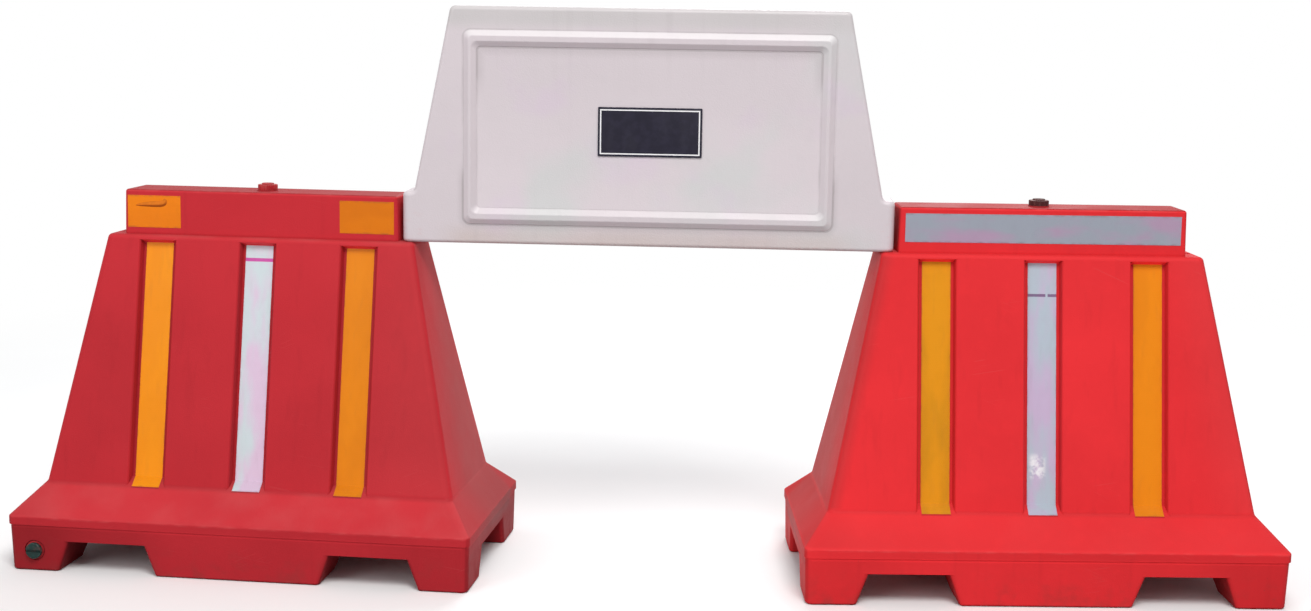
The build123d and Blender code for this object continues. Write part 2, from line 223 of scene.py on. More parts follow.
mouldingLook = dict(
    # the left and the right unit's own; the tones of the skirt, the slope and the ends' corners, the
    # darkening and pale tint of the ends and corner edges, the block top's darkening and the inner side's
    # lightening are painted light, shade and sheen
    own=dict(
        pigment=((0.507, 0.025, 0.034), (0.775, 0.03, 0.036)), shift=((3.1, 0.7, 1.9), (8.4, 5.2, 0.3)),
        shown=(-1, 1), dusty=(0.17, 0.04), skirtTone=(1, 1.09), slopeTone=(1.05, 0.93),
        cornerGain=(0.18, -0.12), blockGain=(0.06, 0), bodyGain=(0.025, 0), baseGain=(0, 0.2),
        edgeShade=(0, 0.24), topShade=(0.42, 0.54), baseEndShade=(0.24, 0.12), drainShade=(0.19, 0),
        endGrime=(0.05, 0.3), endBloom=(0.2, 0.21), outerBloom=(0, 0.05), innerBloom=(0.05, 0)),
    # bloom: a pale grey-red laid on the ends and corner edges as painted sheen, and on the left unit's inner
    # side as painted light
    dust=(0.62, 0.3, 0.28), mud=(0.17, 0.05, 0.042), rub=(0.8, 0.22, 0.21), bloom=(0.42, 0.2, 0.19),
    shades=dict(dim=0.94, bright=1.06, speckle=1.15, run=0.55, grime=0.35),
    weight=dict(
        speckle=0.15, runs=0.1, groove=0.33, crease=0.22, gap=0.65, underTape=0.55, edgeBloom=0.25,
        splash=0.28, drops=0.25, rubbed=0.12, scratch=0.1, underLip=0.25, head=0.85, cornerFeet=0.16,
        slopeEnds=0.09),
    # metres in the unit's own axes; halves are its half length and half width, at the waist and at the ledge
    pitch=0.222, waist=0.177, ledge=0.704, halves=((0.446, 0.337), (0.174, 0.069)),
    # where areas come in or go out: beside a groove, along, across, in height, from an edge
    at=dict(
        wall=(0.028, 0.03), mouth=(0.0385, 0.0415), besideTape=(0.03, 0.032), besideHead=(0.034, 0.037),
        grooves=(0.28, 0.29), ends=(0.28, 0.3), gapEnds=(0.47, 0.48), innerSide=(0.1, 0.4),
        slopeEnds=(0.36, 0.48), baseEnds=(0.44, 0.45), cornerFeet=(0.25, 0.42), drainFeet=(-0.26, -0.12),
        blockEdge=(0.048, 0.052), feet=(0.002, 0.008), splash=(0, 0.09), drops=(0.06, 0.3),
        gapTop=(0.063, 0.067), skirt=(0.096, 0.104), base=(0.113, 0.116), slopeFoot=(0.116, 0.124),
        slopeHead=(0.169, 0.177), baseTop=(0.171, 0.179), endFoot=(0.067, 0.087), endHeight=(0.254, 0.704),
        body=(0.177, 0.704, -1, 1), bodyFoot=(0.177, 0.187), bodyHead=(0.694, 0.704),
        grooveFoot=(0.175, 0.185), grooveTop=(0.69, 0.692), block=(0.704, 0.708), blockTop=(0.792, 0.797),
        shown=(0, 0.19), hidden=(0, 0.03), innerEdge=(0, 0.035), outerEdge=(0, 0.12),
        # level lines: height, half thickness and fade
        underLip=(0.0975, 0.002, 0.003), lipLine=(0.116, 0.001, 0.003), tapeLine=(0.174, 0.0008, 0.001),
        waistLine=(0.177, 0.001, 0.006), headLine=(0.6895, 0.003, 0.0015),
        ledgeLine=(0.7045, 0.0005, 0.005), topLine=(0.798, 0.001, 0.003),
        # how far a face looks along the unit, or up
        endFace=(0.55, 0.85), baseEndFace=(0.45, 0.7), underFace=(-0.9, -0.4), slopeFace=(0.3, 0.6),
        topFace=(0.5, 0.9), dustyFace=(0.25, 0.95)),
    # noise: scale, detail, and a ramp's limits or a height
    drift=(2.6, 2, 0.35, 0.68), mottle=(34, 4), speckle=(0.45, 0.75), patchy=(0.2, 0.6, 0.8, 1),
    runs=(1, 3, 0.55, 0.74), runStretch=(46, 46, 1.3), settled=(11, 5, 0.3, 0.75, 0.15, 0.62),
    splash=(26, 5, 0.45, 0.75), drops=(9, 3, 0.54, 0.72), dropScale=90, dropSize=(0.08, 0.18),
    rubbed=(110, 5, 0.4, 0.75), rubStretch=(0.25, 0.25, 1), broken=(14, 2, 0.56, 0.66),
    tilts=(0.42, -0.16), wave=(5.5, 1, 0.006), skin=(420, 2, 0.0003),
    rough=(0.46, 0.12, 0.25, 0.2, 0.15), gloss=0.08)

def mouldingAreas(sheet, shown):
    # masks from 0 to 1 of a unit's areas, by its own axes and by the way a face looks
    look, at = named(mouldingLook), named(mouldingLook["at"])
    x, y, z = sheet.axes()
    sideways, _, up = sheet.facing()
    out, endFace = abs(x), abs(sideways).ramp(*at.endFace)
    area = SimpleNamespace(x=x, y=y, z=z, out=out, up=up, upright=standing(up))
    # grooves: their side walls, their heads, and the slope just under their tapes
    beside = abs((x / look.pitch + 0.5).fraction() - 0.5) * look.pitch
    grooved = out.fall(*at.grooves)
    walls = beside.ramp(*at.wall) * beside.fall(*at.mouth)
    area.groove = walls * z.ramp(*at.grooveFoot) * z.fall(*at.grooveTop) * grooved
    area.head = z.near(*at.headLine) * beside.fall(*at.besideHead) * grooved
    area.underTape = z.near(*at.tapeLine) * beside.fall(*at.besideTape) * grooved
    # creases at the waist and under the block, and the insides of the gaps
    area.crease = z.near(*at.waistLine) + z.near(*at.ledgeLine)
    area.gap = z.fall(*at.gapTop) * out.fall(*at.gapEnds) * endFace.most(up.fall(*at.underFace))
    # ends, and a mask that rises across them away from their upright edges, slowly from the shown one; it
    # carries painted sheen and shade of the rounded corners
    area.ends = endFace * out.ramp(*at.ends) * z.ramp(*at.endFoot)
    climb = (z - look.waist) / (look.ledge - look.waist)
    halfLength, halfWidth = (low + climb * (high - low) for low, high in look.halves)
    inset = halfWidth - y * shown
    area.bleached = inset.ramp(*at.shown) * (halfWidth * 2 - inset).ramp(*at.hidden)
    # long faces of the body, and their upright edges
    area.body = z.ramp(*at.bodyFoot) * z.fall(*at.bodyHead) * (1 - endFace)
    area.innerEdge = (halfLength - x).fall(*at.innerEdge) * area.body
    area.outerEdge = (halfLength + x).fall(*at.outerEdge) * area.body
    area.innerSide = x.ramp(*at.innerSide) * area.body
    # base and block
    area.slope = z.ramp(*at.slopeFoot) * z.fall(*at.slopeHead) * up.ramp(*at.slopeFace)
    area.baseEnd = abs(sideways).ramp(*at.baseEndFace) * z.fall(*at.baseTop) * out.ramp(*at.baseEnds)
    area.blockTop = z.ramp(*at.blockTop) * up.ramp(*at.topFace)
    return area

def mouldingColour(sheet, area, own, mottle):
    # pigment with its drift and speckle, runs of rain, painted shade with some grime in grooves, creases,
    # gaps and on the ends, and painted sheen and light on the ends, corner edges and inner side
    look, at, weight = opened(mouldingLook)
    shade = named({name: shaded(own.pigment, amount) for name, amount in look.shades.items()})
    colour = sheet.blend(sheet.patches(look.drift, shift=own.shift), shade.dim, shade.bright)
    colour = sheet.blend(mottle.ramp(*look.speckle) * weight.speckle, colour, shade.speckle)
    runs = sheet.patches(look.runs, look.runStretch, own.shift) * area.upright
    colour = sheet.blend(runs * weight.runs, colour, shade.run)
    # painted shade with some grime: darker pigment on the grooves' walls, in the creases and gaps and on the
    # ends, and a line under the tapes' ends that is painted shadow and dirt
    bleachedEnd = area.ends * area.bleached
    grime = (area.groove * weight.groove).most(area.crease * weight.crease).most(area.gap * weight.gap)
    grime = grime.most(area.underTape * weight.underTape)
    grime = grime.most(bleachedEnd * area.z.fall(*at.endHeight) * own.endGrime)
    colour = sheet.blend(grime * mottle.ramp(*look.patchy), colour, shade.grime)
    # painted sheen and shade of the rounded corners: the pale grey-red over the ends away from their shown
    # edge and along the long faces' corner edges, and painted light on the inner side
    colour = sheet.blend(bleachedEnd * own.endBloom, colour, look.bloom)
    edges = area.innerEdge * own.edgeShade * weight.edgeBloom + area.outerEdge * own.outerBloom
    return sheet.blend(edges + area.innerSide * own.innerBloom, colour, look.bloom)

def mouldingTone(area, own):
    # product of lighter and darker stretches, each 1 outside its own area; painted light and shade in those
    # of the skirt, the slope, the ends by their corners, the corner edge and the inner side, painted light
    # lifting the shadows under the lip and at the grooves' heads, and painted shade on the block top against
    # its pale sheen
    _, at, weight = opened(mouldingLook)
    x, z, out = area.x, area.z, area.out
    darkFeet = out.ramp(*at.cornerFeet) * weight.cornerFeet + x.fall(*at.drainFeet) * own.drainShade
    stretches = [
        z.ramp(*at.skirt, own.skirtTone, 1),
        1 + area.slope * (own.slopeTone - 1),
        1 + area.ends * (1 - area.bleached) * own.cornerGain,
        1 + z.near(*at.underLip) * weight.underLip,
        1 + area.head * weight.head,
        1 - area.blockTop * own.topShade,
        1 - area.innerEdge * own.edgeShade,
        1 + z.ramp(*at.block) * own.blockGain,
        1 + area.body * z.ramp(*at.body) * own.bodyGain,
        1 - area.baseEnd * own.baseEndShade,
        1 - z.fall(*at.skirt) * darkFeet,
        1 + z.fall(*at.base) * x * own.baseGain,
        1 - area.slope * out.ramp(*at.slopeEnds) * weight.slopeEnds,
        1 + area.innerSide * own.innerBloom,
    ]
    return math.prod(stretches[1:], start=stretches[0])

def mouldingFinish(side):
    look, at, weight = opened(mouldingLook)
    own = named({name: pair[sides.index(side)] for name, pair in look.own.items()})
    sheet = newSheet(side + "Moulding", *unitPlace(side))
    area = mouldingAreas(sheet, own.shown)
    z, shift = area.z, own.shift
    mottle = sheet.grain(*look.mottle, shift=shift)
    colour = sheet.toned(mouldingColour(sheet, area, own, mottle), mouldingTone(area, own))
    # dust where a face looks up, splashes and drops near the ground
    settled = area.up.ramp(*at.dustyFace) * sheet.patches(look.settled, shift=shift)
    colour = sheet.blend(settled * own.dusty, colour, look.dust)
    splash = z.fall(*at.splash) * sheet.patches(look.splash)
    colour = sheet.blend(splash * weight.splash, colour, look.mud)
    drops = sheet.cells(look.dropScale).fall(*look.dropSize) * sheet.patches(look.drops) * z.fall(*at.drops)
    colour = sheet.blend(drops * weight.drops, colour, look.mud)
    # rubbed edges at the lip, the block and the feet, and scratches
    rim = z.near(*at.lipLine) + z.near(*at.topLine) * abs(area.y).ramp(*at.blockEdge)
    rim = rim + z.fall(*at.feet) * area.upright
    rubbed = rim.least(1) * sheet.patches(look.rubbed, look.rubStretch, shift)
    colour = sheet.blend(rubbed * weight.rubbed, colour, look.rub)
    broken = sheet.patches(look.broken, shift=shift) * area.upright
    scratch = scratches(sheet, [(tilt, shift) for tilt in look.tilts]) * broken
    colour = sheet.blend(scratch * weight.scratch, colour, look.rub)
    rough = roughness(look.rough, mottle, settled, splash, scratch)
    return sheet.finishWith(colour, rough, mouldedSkin(sheet, look, scratch, shift), look.gloss)

for side in sides:
    dress(mouldingFinish(side), side + "_barrier_shell")
print("stage: moulded units finished")

# Display panel: off-white moulding, grime and painted shadow along the raised frame, a painted highlight on
# its upper slopes, runs of rain, red rubs on the tabs

panelLook = dict(
    base=(0.655, 0.586, 0.613), cool=(0.595, 0.6, 0.595), pink=(0.655, 0.54, 0.64),
    head=(0.56, 0.53, 0.53), foot=(0.59, 0.495, 0.468),
    # the dark grey is grime, and also painted shadow in the frame's creases; the pale grey is a painted
    # highlight on its upper slopes
    grime=(0.3, 0.265, 0.27), rub=(0.66, 0.3, 0.3), washed=(0.82, 0.8, 0.8),
    speckleShade=0.88, dustShade=1.3,
    weight=dict(
        cool=0.8, pink=0.5, speckle=0.1, line=0.28, under=0.5, softer=0.22, runs=0.09, settled=0.16,
        rubbed=0.22, scratch=0.07),
    frameMiddle=0.948, frameHalf=(0.388, 0.203), frameWidth=(0.029, 0.035), corner=0.016,
    at=dict(
        # heights from the frame's middle: from and to, and the values there if they aren't 0 and 1
        head=(0.193, 0.228), foot=(-0.233, -0.191, 0.8, 0), upperRun=(0.06, 0.12),
        lowerRun=(-0.12, -0.06), inside=(-0.14, -0.08, 0.35, 1), fieldTone=(-0.2, 0.17, 0.085, -0.02),
        washed=(-0.1, 0.1, 0.1, 0.42), fromTop=(0.032, 0.252, 0.15, 1),
        fromRun=(-0.223, -0.203, 1, 0.25), tabHeight=(-0.244, -0.144), seat=(-0.244, -0.232),
        # along the panel, and from the frame's outer or inner outline
        footEnds=(0.37, 0.46), tabs=(0.44, 0.51), outsideLine=(0.0005, 0.001, 0.0025),
        insideLine=(-0.0005, 0.001, 0.0025), field=(-0.003, 0), innerShade=(-0.024, -0.001),
        outerShade=(0.001, 0.016), bead=(-0.001, 0.001),
        # how far a face looks up
        washedFace=(0.15, 0.5), dustyFace=(0.3, 0.95)),
    # noise: scale, detail, and a ramp's limits or a height
    drift=(3.4, 3), driftCool=(0.52, 0.68), driftHead=(0.3, 0.7, 0.9, 0.5), driftFoot=(0.3, 0.7, 1, 0.6),
    mottle=(30, 4), speckle=(0.5, 0.78), blush=(6.5, 3, 0.54, 0.7),
    stains=(17, 5, 0.3, 0.7, 0.35, 1), runs=(1, 3, 0.53, 0.74), runStretch=(40, 40, 1.1),
    settled=(13, 5, 0.3, 0.75, 0.2, 0.75), rubbed=(38, 4, 0.53, 0.7), rubStretch=(1, 1, 2.4),
    broken=(11, 2, 0.57, 0.66), scratches=((0.3, (4, 4, 4)), (-0.7, (1, 6, 2))),
    wave=(5, 1, 0.005), skin=(420, 1, 0.0003),
    shift=dict(
        drift=(2.2, 0.4, 6.1), blush=(7, 3, 0.6), stains=(1.4, 7.7, 0.2), runs=(5, 1, 2),
        wave=(0.6, 2, 1)),
    rough=(0.3, 0.12, 0.25, 0.12, 0.1), gloss=0.38)

def edgeDistance(across, upwards, halfWidth, halfHeight, corner):
    # signed distance from the outline of a rounded rectangle, less than 0 inside
    over = abs(across) - (halfWidth - corner)
    above = abs(upwards) - (halfHeight - corner)
    outside = (over.most(0) * over.most(0) + above.most(0) * above.most(0)).root()
    return outside + over.most(above).least(0) - corner

def panelTint(sheet, x, upwards, mottle):
    # off-white that drifts cool and pink, duller above the frame and warmer below it
    look, at, weight = opened(panelLook)
    drift = sheet.grain(*look.drift, shift=look.shift["drift"])
    blush = sheet.patches(look.blush, shift=look.shift["blush"])
    colour = sheet.blend(drift.ramp(*look.driftCool) * weight.cool, look.base, look.cool)
    colour = sheet.blend(blush * weight.pink, colour, look.pink)
    speckle = mottle.ramp(*look.speckle) * weight.speckle
    colour = sheet.blend(speckle, colour, shaded(look.base, look.speckleShade))
    colour = sheet.blend(upwards.ramp(*at.head) * drift.ramp(*look.driftHead), colour, look.head)
    between = abs(x).fall(*at.footEnds) * drift.ramp(*look.driftFoot)
    return sheet.blend(upwards.ramp(*at.foot) * between, colour, look.foot)

def panelFrame(sheet, colour, x, upwards, up):
    # lays dirt, painted shadow and a painted highlight on the raised frame and its field; gives the colour
    # and the dirty line
    look, at, weight = opened(panelLook)
    (halfWidth, halfHeight), (sideWidth, levelWidth) = look.frameHalf, look.frameWidth
    outer = edgeDistance(x, upwards, halfWidth, halfHeight, look.corner)
    inner = edgeDistance(x, upwards, halfWidth - sideWidth, halfHeight - levelWidth, look.corner / 2)
    upperRun, lowerRun = upwards.ramp(*at.upperRun), upwards.fall(*at.lowerRun)
    # dirt along the frame, with a painted shadow in the creases under its upper and lower runs
    outside = outer.near(*at.outsideLine)
    inside = inner.near(*at.insideLine) * upwards.ramp(*at.inside)
    under = (inside * upperRun).most(outside * lowerRun)
    line = outside.most(inside)
    stains = sheet.patches(look.stains, shift=look.shift["stains"])
    colour = sheet.blend((line * stains * weight.line).most(under * weight.under), colour, look.grime)
    # a soft painted shadow goes out from those creases, and the field pales towards its foot
    field = inner.fall(*at.field)
    innerShade = inner.ramp(*at.innerShade) * field * upperRun
    outerShade = outer.fall(*at.outerShade) * outer.ramp(*at.bead) * lowerRun
    colour = sheet.blend(innerShade.most(outerShade) * weight.softer, colour, look.grime)
    colour = sheet.toned(colour, 1 + field * upwards.ramp(*at.fieldTone))
    # painted highlight on the frame's upper slopes, which face up into the light
    bead = outer.fall(*at.bead) * inner.ramp(*at.bead)
    highlit = bead * up.ramp(*at.washedFace) * upwards.ramp(*at.washed)
    return sheet.blend(highlit, colour, look.washed), line

def panelFinish():
    look, at, weight = opened(panelLook)
    sheet = newSheet("panelMoulding")
    x, _, z = sheet.axes()
    up = sheet.facing()[2]
    upright, upwards = standing(up), z - look.frameMiddle
    mottle = sheet.grain(*look.mottle)
    colour = panelTint(sheet, x, upwards, mottle)
    colour, line = panelFrame(sheet, colour, x, upwards, up)
    # runs of rain below the top edge and below the frame's lower run, and dust on what looks up
    runs = sheet.patches(look.runs, look.runStretch, look.shift["runs"]) * upright
    wet = upwards.ramp(*at.fromTop).most(upwards.ramp(*at.fromRun))
    colour = sheet.blend(runs * wet * weight.runs, colour, look.grime)
    settled = up.ramp(*at.dustyFace) * sheet.patches(look.settled)
    colour = sheet.blend(settled * weight.settled, colour, shaded(look.grime, look.dustShade))
    # red rubs where the tabs and the foot meet the units, and scratches
    meeting = (abs(x).ramp(*at.tabs) * upwards.fall(*at.tabHeight)).most(upwards.fall(*at.seat))
    rubbed = meeting * sheet.patches(look.rubbed, look.rubStretch)
    colour = sheet.blend(rubbed * weight.rubbed, colour, look.rub)
    scratch = scratches(sheet, look.scratches) * (sheet.patches(look.broken) * upright)
    colour = sheet.blend(scratch * weight.scratch, colour, look.grime)
    rough = roughness(look.rough, mottle, settled, line, rubbed)
    normal = mouldedSkin(sheet, look, scratch, look.shift["wave"])
    return sheet.finishWith(colour, rough, normal, look.gloss)

dress(panelFinish(), "panel_shell")
print("stage: panel finished")

# Reflective tapes: sealed honeycomb cells under a clear face, dirty edges, one printed line on some

tapeLook = dict(
    # each tint is two shades that the sheet drifts between
    amber=((0.92, 0.3, 0.004), (0.88, 0.276, 0.004)), orange=((0.83, 0.247, 0.004), (0.785, 0.228, 0.004)),
    ember=((0.815, 0.21, 0.005), (0.77, 0.192, 0.005)), ochre=((0.752, 0.288, 0.006), (0.63, 0.254, 0.006)),
    white=((0.61, 0.7, 0.725), (0.73, 0.545, 0.705)), silver=((0.45, 0.525, 0.6), (0.565, 0.44, 0.62)),
    slate=((0.328, 0.355, 0.415), (0.432, 0.295, 0.42)),
    dirt=(0.15, 0.07, 0.05), scuff=(0.9, 0.9, 0.92), cloudShade=0.8, wallGain=1.15, wallLift=0.02,
    # each unit's three tapes and their shades, and the marks on the second tape of one face
    left=dict(
        tapes=(("amber", 1), ("white", 1), ("orange", 0.95)), marked="drain_side",
        line=dict(down=0.03, half=0.003, tint=(0.6, 0.03, 0.34), weight=0.9, broken=(0.1, 0.3))),
    right=dict(
        tapes=(("ochre", 1), ("silver", 1), ("orange", 1.01)), marked="far_side",
        line=dict(down=0.0665, half=0.0022, tint=(0.15, 0.05, 0.16), weight=0.8, broken=(0.3, 0.46),
                  gap=(-0.0095, 0.0015, 0.0015)),
        scuffed=((0.009, 0.009, 0.013), (0.27, 0.013, 0.018))),
    lineFade=0.0015, lineGrain=(55, 3), cell=0.0042, cellWall=(0.16, 0.25), wallHigh=0.00008,
    pitch=0.222, edge=(0.027, 0.03), foot=(0.175, 0.179), toe=(0.192, 0.193, 0.86, 1),
    # noise: scale, detail, and a ramp's limits or a height
    drift=(9, 3), driftRange=(0.38, 0.62), bands=(2.2, 2.2, 0.45), cloud=(60, 4, (1, 1, 0.5)),
    cloudRange=(0.5, 0.75), runs=(1, 3, 0.55, 0.76), runStretch=(70, 70, 2),
    dirty=(48, 5, 0.4, 0.7), scuffs=(85, 4, 0.38, 0.62), ripple=(24, 2, 0.0012),
    weight=dict(cloud=0.1, wall=0.14, scuffed=0.85, runs=0.06, dirty=0.3),
    rough=(0.34, 0.12, 0.3, 0.06, 0.2), gloss=0.12, coat={"Coat Weight": 0.05, "Coat Roughness": 0.2})

def honeycomb(across, along):
    # 1 on the walls of hexagonal cells: the square of the way to the nearer of two offset rows of middles
    pitch, tall = tapeLook["cell"], math.sqrt(3)
    u, v = across / pitch, along / (pitch * tall)

    def fromMiddle(first, second):
        a = first.fraction() - 0.5
        b = (second.fraction() - 0.5) * tall
        return a * a + b * b

    return fromMiddle(u, v).least(fromMiddle(u + 0.5, v + 0.5)).ramp(*tapeLook["cellWall"])

def sheeting(sheet, across, along, tint, bands):
    # tint that drifts between two shades in soft bands along the sheet, over faint cell walls
    look, weight = named(tapeLook), named(tapeLook["weight"])
    wall = honeycomb(across, along)
    cloud = sheet.grain(*look.cloud)
    colour = sheet.blend(sheet.grain(*look.drift, bands).ramp(*look.driftRange), *tint)
    cloudy = cloud.ramp(*look.cloudRange) * weight.cloud
    colour = sheet.blend(cloudy, colour, shaded(tint[1], look.cloudShade))
    paler = tuple(min(1, look.wallGain * part + look.wallLift) for part in tint[0])
    return sheet.blend(wall * weight.wall, colour, paler), wall, cloud

def tapeFinish(node, side, tint, marks):
    look, weight = named(tapeLook), named(tapeLook["weight"])
    sheet = newSheet(node + "_sheet", *unitPlace(side))
    x, _, z = sheet.axes()
    across = ((x / look.pitch + 0.5).fraction() - 0.5) * look.pitch
    colour, wall, cloud = sheeting(sheet, across, z, tint, look.bands)
    if "line" in marks:
        line = marks["line"]
        printed = z.near(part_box(node)[1].z - line["down"], line["half"], look.lineFade)
        printed = printed * sheet.patches((*look.lineGrain, *line["broken"]))
        if "gap" in line:
            printed = printed * (1 - across.near(*line["gap"]))
        colour = sheet.blend(printed * line["weight"], colour, line["tint"])
    scuffed = 0
    if "scuffed" in marks:
        aside, height = marks["scuffed"]
        scuffed = across.near(*aside) * z.near(*height) * sheet.patches(look.scuffs)
        colour = sheet.blend(scuffed * weight.scuffed, colour, look.scuff)
    colour = sheet.blend(sheet.patches(look.runs, look.runStretch) * weight.runs, colour, look.dirt)
    edge = abs(across).ramp(*look.edge) + z.fall(*look.foot)
    dirty = edge.least(1) * sheet.patches(look.dirty)
    colour = sheet.blend(dirty * weight.dirty, colour, look.dirt)
    # the toe looks up into the light, so it is toned down to match
    colour = sheet.toned(colour, z.ramp(*look.toe))
    rough = roughness(look.rough, cloud, dirty, wall, scuffed)
    normal = sheet.bumps(look.ripple, sheet.relief(wall, look.wallHigh))
    return sheet.finishWith(colour, rough, normal, look.gloss, **look.coat)

def tinted(name, shade):
    return [shaded(part, shade) for part in tapeLook[name]]

for side in sides:
    own = tapeLook[side]
    for face in ("drain_side", "far_side"):
        for number, tint in enumerate(own["tapes"], 1):
            node = f"{side}_{face}_tape_{number}"
            marks = own if face == own["marked"] and number == 2 else {}
            dress(tapeFinish(node, side, tinted(*tint), marks), node)

# Strips on the top blocks: the same sheet, dirty along their edges and faintly creased

stripLook = dict(
    tints={"short_strip_1": ("ember", 1.08), "short_strip_2": ("ember", 0.9), "long_strip": ("slate", 1)},
    clear=0.001, edge=0.005, bands=(0.8, 0.8, 2.3), dirty=(52, 5, 0.38, 0.66),
    crease=(1, 2, 0.0015), creaseStretch=(30, 30, 12), rough=(0.36, 0.12, 0.3))

def stripFinish(node, side, tint):
    look, tape = named(stripLook), named(tapeLook)
    sheet = newSheet(node + "_sheet", *unitPlace(side))
    x, _, z = sheet.axes()
    low, high = (corner.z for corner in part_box(node))
    colour, wall, cloud = sheeting(sheet, x, z, tint, look.bands)
    edge = z.fall(low + look.clear, low + look.edge) + z.ramp(high - look.edge, high - look.clear)
    dirty = edge.least(1) * sheet.patches(look.dirty)
    colour = sheet.blend(dirty * tape.weight["dirty"], colour, tape.dirt)
    normal = sheet.relief(wall, tape.wallHigh, sheet.bumps(look.crease, stretch=look.creaseStretch))
    return sheet.finishWith(colour, roughness(look.rough, cloud, dirty), normal, tape.gloss, **tape.coat)

for side in sides:
    for name, tint in stripLook["tints"].items():
        dress(stripFinish(f"{side}_{name}", side, tinted(*tint)), f"{side}_{name}")
print("stage: tapes and strips finished")

def mottled(name, look, tints, *place):
    # a small part's sheet, its mottle, and a colour that goes between two tints by it
    sheet = newSheet(name, *place)
    scale, detail, *limits = look.mottle
    mottle = sheet.grain(scale, detail)
    return sheet, mottle, sheet.blend(mottle.ramp(*limits), *tints)

def finishSmall(sheet, colour, look, *masks):
    return sheet.finishWith(colour, roughness(look.rough, *masks), sheet.bumps(look.skin), look.gloss)

# Screw caps, collars and bushes: small moulded parts with rubbed tops and dust in their corners

capLook = dict(
    left=dict(tint=(0.4, 0.014, 0.02), worn=(0.58, 0.12, 0.11)),
    right=dict(tint=(0.06, 0.01, 0.01), worn=(0.22, 0.09, 0.08)),
    shades=(0.85, 1.12), dust=(0.5, 0.28, 0.25),
    wornWeight=0.35, dustWeight=0.2, cornerWeight=0.3, mostDust=0.8,
    # rings about the axis: radius, half width and fade
    rim=(0.021, 0.0006, 0.0012), hub=(0.013, 0.0005, 0.0014), corner=(0.0145, 0.0008, 0.0022),
    cornerFace=(0.5, 0.9), dustyFace=(0.5, 0.95), mottle=(90, 4, 0.35, 0.7),
    rubbed=(130, 3, 0.45, 0.7), settled=(45, 5, 0.32, 0.7, 0.1, 0.7), skin=(700, 2, 0.0002),
    rough=(0.42, 0.15, 0.25), gloss=0.3)
insertLook = dict(
    tints=((0.34, 0.012, 0.018), (0.44, 0.016, 0.022)), mottle=(110, 4, 0.35, 0.7),
    dirt=(60, 5, 0.48, 0.7), dirtWeight=0.3, skin=(650, 2, 0.0002),
    rough=(0.45, 0.15, 0.2), gloss=0.3)

def capFinish(side):
    look, own = named(capLook), named(capLook[side])
    tints = [shaded(own.tint, shade) for shade in look.shades]
    sheet, mottle, colour = mottled(side + "CapMoulding", look, tints, *unitPlace(side))
    x, y, _ = sheet.axes()
    up = sheet.facing()[2]
    fromAxis = (x * x + y * y).root()
    rings = (fromAxis.near(*look.rim) + fromAxis.near(*look.hub)).least(1)
    colour = sheet.blend(rings * sheet.patches(look.rubbed) * look.wornWeight, colour, own.worn)
    settled = up.ramp(*look.dustyFace) * sheet.patches(look.settled)
    corner = fromAxis.near(*look.corner) * up.ramp(*look.cornerFace)
    dust = (settled * look.dustWeight + corner * look.cornerWeight).least(look.mostDust)
    return finishSmall(sheet, sheet.blend(dust, colour, look.dust), look, mottle, settled)

def insertFinish():
    look = named(insertLook)
    sheet, mottle, colour = mottled("insertMoulding", look, look.tints)
    dirt = sheet.patches(look.dirt)
    colour = sheet.blend(dirt * look.dirtWeight, colour, mouldingLook["mud"])
    return finishSmall(sheet, colour, look, mottle, dirt)

for side in sides:
    dress(capFinish(side), side + "_filler_cap")
dress(insertFinish(), *(side + part for side in sides for part in ("_filler_collar", "_drain_bush")))

# Drain plugs: dark green moulding; rubber seals; galvanised pins

plugLook = dict(
    tint=(0.008, 0.03, 0.026), shades=(0.8, 1.3), worn=(0.07, 0.12, 0.11), wornWeight=0.6, mudWeight=0.45,
    rim=(0.0168, 0.0006, 0.0014), mottle=(140, 4, 0.35, 0.7), rubbed=(320, 3, 0.45, 0.65),
    mud=(75, 5, 0.5, 0.72), skin=(800, 2, 0.00015), rough=(0.38, 0.15, 0.25), gloss=0.25)
rubberLook = dict(
    tints=((0.014, 0.014, 0.015), (0.03, 0.029, 0.028)), bloomed=(0.12, 0.11, 0.105), bloomWeight=0.25,
    mottle=(160, 4, 0.3, 0.7), bloom=(55, 4, 0.45, 0.75), skin=(900, 2, 0.00015),
    rough=(0.62, 0.2), gloss=0.5)
zincLook = dict(
    tints=((0.5, 0.51, 0.53), (0.68, 0.69, 0.7)), whitened=(0.74, 0.74, 0.73), whiteWeight=0.5,
    spangle=160, white=(45, 5, 0.52, 0.74), skin=(500, 3, 0.0001),
    rough=(0.3, 0.18, 0.25), gloss=0.5, metal=1)

def plugFinish(side):
    look = named(plugLook)
    low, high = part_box(side + "_drain_plug")
    place = tuple((low + high) / 2), unitPlace(side)[1]
    tints = [shaded(look.tint, shade) for shade in look.shades]
    sheet, mottle, colour = mottled(side + "PlugMoulding", look, tints, *place)
    x, _, z = sheet.axes()
    worn = (x * x + z * z).root().near(*look.rim) * sheet.patches(look.rubbed)
    colour = sheet.blend(worn * look.wornWeight, colour, look.worn)
    mud = sheet.patches(look.mud)
    colour = sheet.blend(mud * look.mudWeight, colour, mouldingLook["mud"])
    return finishSmall(sheet, colour, look, mottle, mud)

def rubberFinish():
    look = named(rubberLook)
    sheet, mottle, colour = mottled("sealRubber", look, look.tints)
    colour = sheet.blend(sheet.patches(look.bloom) * look.bloomWeight, colour, look.bloomed)
    return finishSmall(sheet, colour, look, mottle)

